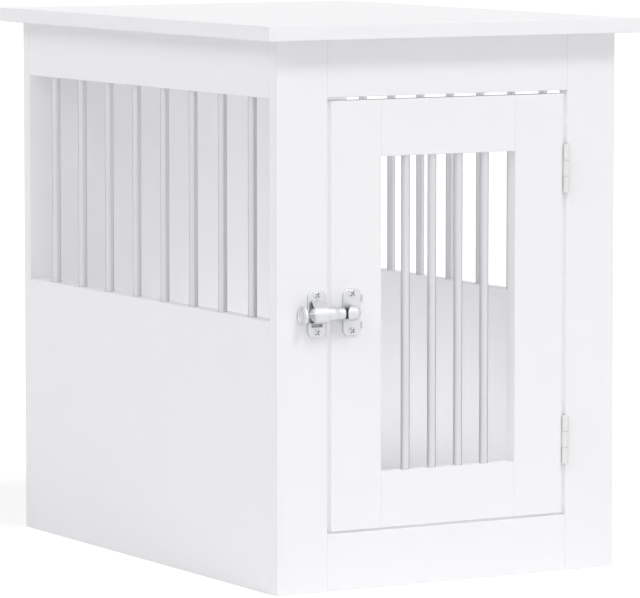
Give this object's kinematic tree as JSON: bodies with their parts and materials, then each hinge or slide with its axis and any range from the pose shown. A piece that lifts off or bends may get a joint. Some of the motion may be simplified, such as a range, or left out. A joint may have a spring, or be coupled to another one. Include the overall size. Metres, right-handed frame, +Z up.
{
  "type": "dog crate end table",
  "caption": "White board end table with a flat overhanging top over a dog crate: barred side openings and a barred, hinged front door with a slide bolt.",
  "frame": {"origin": "on the floor, in the middle of the footprint", "axes": "+Z up, -Y out of the front with the door, +X to the right seen from the front"},
  "size_m": [0.44, 0.6, 0.57],
  "materials": {
    "white_board": "white coated fibreboard, satin",
    "top_board": "white coated fibreboard, satin",
    "batten_wood": "bare softwood",
    "bar_metal": "bright plated",
    "hinge_metal": "nickel plated",
    "latch_metal": "satin nickel plated",
    "screw_metal": "nickel plated",
    "nose_plastic": "black, satin"
  },
  "bodies": {
    "cabinet": {"back_panel": "white_board", "floor_cleat_left": "batten_wood", "floor_cleat_right": "batten_wood", "floor_panel": "white_board", "front_bottom_rail": "white_board", "front_left_stile": "white_board", "front_right_stile": "white_board", "front_top_rail": "white_board", "latch_base": "latch_metal", "latch_base_screws": "screw_metal", "left_bar_1": "bar_metal", "left_bar_2": "bar_metal", "left_bar_3": "bar_metal", "left_bar_4": "bar_metal", "left_bar_5": "bar_metal", "left_bar_6": "bar_metal", "left_bar_7": "bar_metal", "left_bar_8": "bar_metal", "left_lower_panel": "white_board", "left_top_rail": "white_board", "lower_hinge_frame_leaf": "hinge_metal", "lower_hinge_pin": "hinge_metal", "right_bar_1": "bar_metal", "right_bar_2": "bar_metal", "right_bar_3": "bar_metal", "right_bar_4": "bar_metal", "right_bar_5": "bar_metal", "right_bar_6": "bar_metal", "right_bar_7": "bar_metal", "right_bar_8": "bar_metal", "right_lower_panel": "white_board", "right_top_rail": "white_board", "table_top": "top_board", "top_cleat_left": "batten_wood", "top_cleat_right": "batten_wood", "upper_hinge_frame_leaf": "hinge_metal", "upper_hinge_pin": "hinge_metal"},
    "door": {"door_bar_1": "bar_metal", "door_bar_2": "bar_metal", "door_bar_3": "bar_metal", "door_bar_4": "bar_metal", "door_bottom_rail": "white_board", "door_left_stile": "white_board", "door_right_stile": "white_board", "door_top_rail": "white_board", "lower_hinge_door_leaf": "hinge_metal", "upper_hinge_door_leaf": "hinge_metal", "latch_keeper": "latch_metal", "latch_keeper_screws": "screw_metal"},
    "bolt": {"latch_bolt": "latch_metal", "latch_knob": "latch_metal", "latch_nose": "nose_plastic"}
  },
  "joints": [
    {"name": "door_swing", "type": "hinge", "parent": "cabinet", "child": "door", "pos_m": [0.13975, -0.283, 0.277], "axis": [0, 0, 1], "range_deg": [0, 180]},
    {"name": "bolt_slide", "type": "slide", "parent": "cabinet", "child": "bolt", "axis": [-1, 0, 0], "range_m": [0, 0.0275]}
  ]
}
